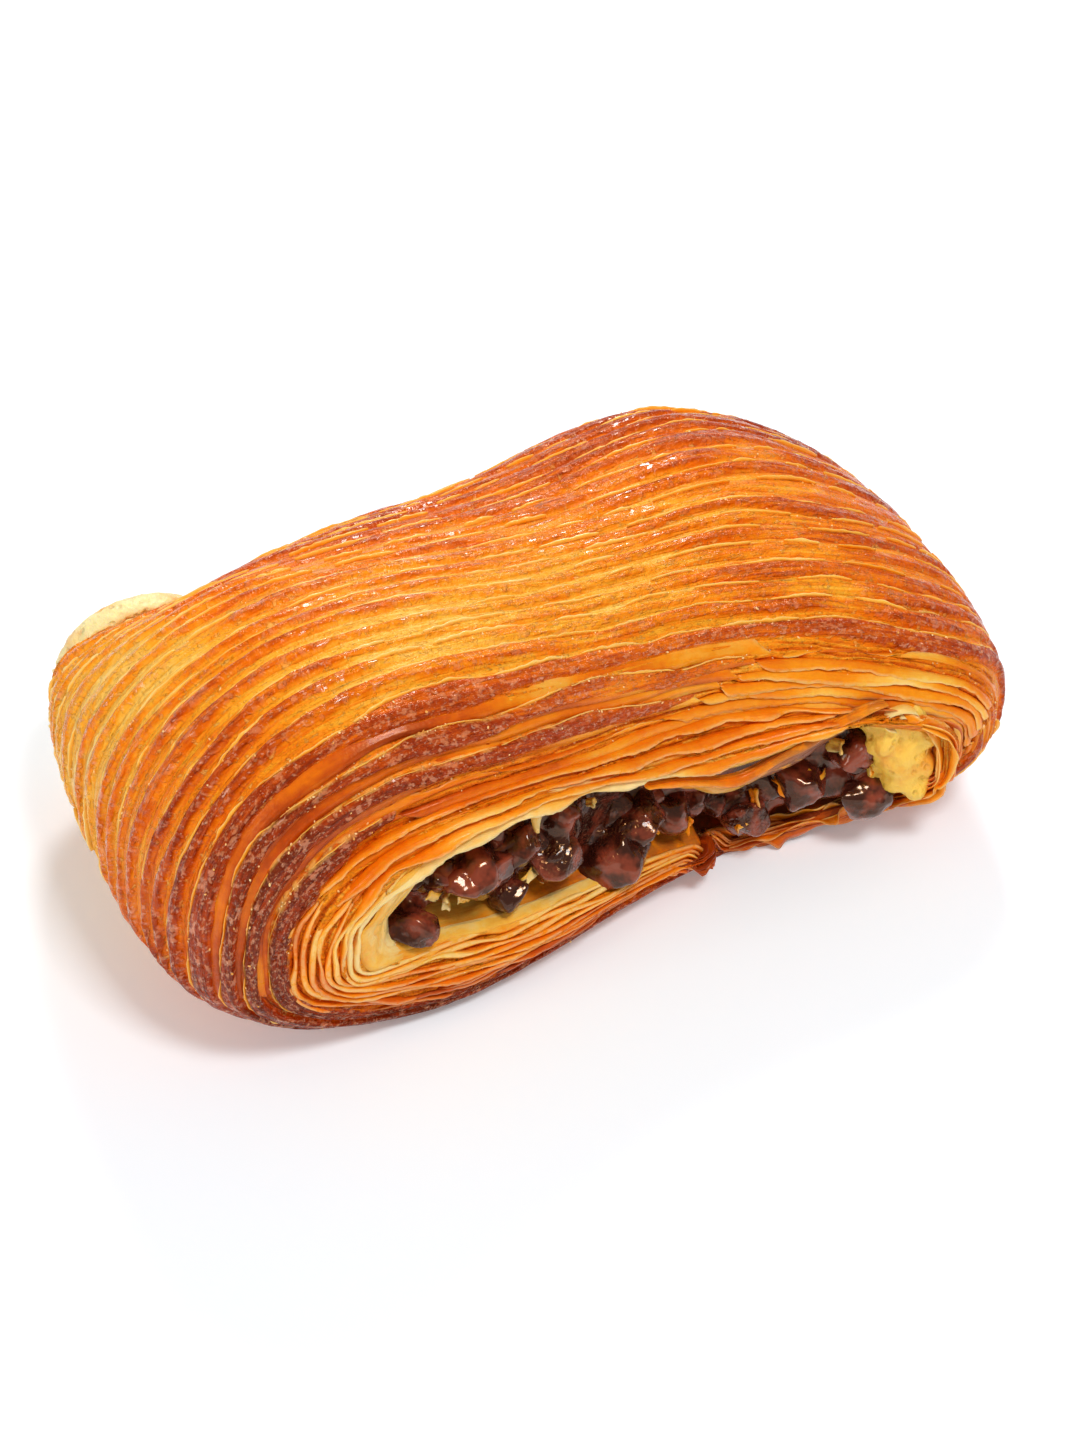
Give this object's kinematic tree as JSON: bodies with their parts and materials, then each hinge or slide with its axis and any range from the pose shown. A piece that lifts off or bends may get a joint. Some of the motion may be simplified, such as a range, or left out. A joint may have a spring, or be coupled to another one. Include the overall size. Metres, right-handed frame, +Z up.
{
  "type": "chocolate custard pastry",
  "caption": "Baked laminated pastry folded round custard and chocolate chips, with a ridged glossy golden crust, pale layered cut faces and the filling showing at its long openings.",
  "frame": {"origin": "on the table, under the middle of the pastry's bounding box", "axes": "+X along the pastry to its narrower end, -Y out of the front cut face with the chocolate chips, +Z up"},
  "size_m": [0.1408, 0.0806, 0.0588],
  "materials": {
    "dough": "baked flaky dough, glossy and browned on the ridges, pale and satin on the cut layers",
    "custard": "pale yellow baked custard, soft satin",
    "chocolate": "dark chocolate, softened by baking, glossy"
  },
  "bodies": {
    "root": {"dough": "dough", "custard": "custard", "chocolate_chips": "chocolate"}
  },
  "joints": []
}
